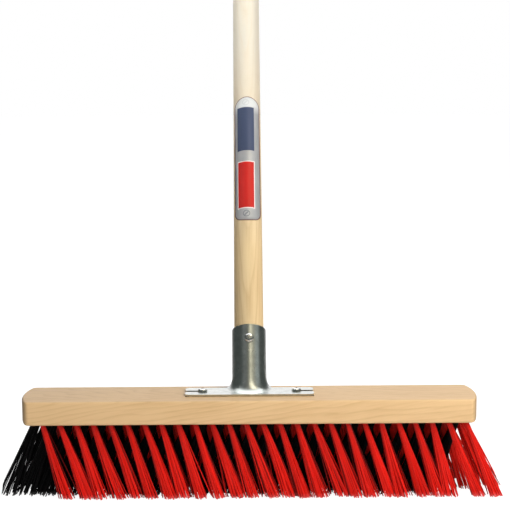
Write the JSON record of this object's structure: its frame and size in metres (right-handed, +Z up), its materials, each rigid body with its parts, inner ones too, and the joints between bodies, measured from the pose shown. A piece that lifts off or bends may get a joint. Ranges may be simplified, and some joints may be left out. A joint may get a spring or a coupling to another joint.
{
  "type": "push broom",
  "caption": "Street push broom with a wooden head, red and black plastic bristle tufts, a pressed steel socket and a long wooden stick.",
  "frame": {"origin": "under the middle of the head, at the level of the bristle tips", "axes": "+Z up from the bristle tips through the head, +X along the head, -Y towards the front; the stick leans back towards +Y"},
  "size_m": [0.466, 0.8766, 1.2286],
  "materials": {
    "head_wood": "planed and lightly varnished, pale with fine straight grain",
    "stick_wood": "turned and sanded pine with pointed grain",
    "galvanised_steel": "zinc plated, glossy, slightly clouded",
    "screw_steel": "bright zinc",
    "label_foil": "satin silver foil with a dark blue and a red field",
    "red_bristle": "coarse glossy filaments",
    "black_bristle": "coarse glossy filaments"
  },
  "bodies": {
    "root": {"head_block": "head_wood", "stick_socket": "galvanised_steel", "strip_screw_left": "screw_steel", "strip_screw_right": "screw_steel", "stick": "stick_wood", "stick_label": "label_foil", "stick_screw": "screw_steel", "red_tufts_row1_1": "red_bristle", "red_tufts_row1_2": "red_bristle", "red_tufts_row1_3": "red_bristle", "red_tufts_row1_4": "red_bristle", "red_tufts_row1_5": "red_bristle", "red_tufts_row1_6": "red_bristle", "red_tufts_row1_7": "red_bristle", "red_tufts_row1_8": "red_bristle", "red_tufts_row1_9": "red_bristle", "black_tufts_row2_1": "black_bristle", "black_tufts_row2_2": "black_bristle", "black_tufts_row2_3": "black_bristle", "black_tufts_row2_4": "black_bristle", "black_tufts_row2_5": "black_bristle", "black_tufts_row2_6": "black_bristle", "black_tufts_row2_7": "black_bristle", "black_tufts_row2_8": "black_bristle", "black_tufts_row2_9": "black_bristle", "red_tufts_row3_1": "red_bristle", "red_tufts_row3_2": "red_bristle", "red_tufts_row3_3": "red_bristle", "red_tufts_row3_4": "red_bristle", "red_tufts_row3_5": "red_bristle", "red_tufts_row3_6": "red_bristle", "red_tufts_row3_7": "red_bristle", "red_tufts_row3_8": "red_bristle", "red_tufts_row3_9": "red_bristle", "black_tufts_row4_1": "black_bristle", "black_tufts_row4_2": "black_bristle", "black_tufts_row4_3": "black_bristle", "black_tufts_row4_4": "black_bristle", "black_tufts_row4_5": "black_bristle", "black_tufts_row4_6": "black_bristle", "black_tufts_row4_7": "black_bristle", "black_tufts_row4_8": "black_bristle", "black_tufts_row4_9": "black_bristle", "red_tufts_row5_1": "red_bristle", "red_tufts_row5_2": "red_bristle", "red_tufts_row5_3": "red_bristle", "red_tufts_row5_4": "red_bristle", "red_tufts_row5_5": "red_bristle", "red_tufts_row5_6": "red_bristle", "red_tufts_row5_7": "red_bristle", "red_tufts_row5_8": "red_bristle", "red_tufts_row5_9": "red_bristle"}
  },
  "joints": []
}
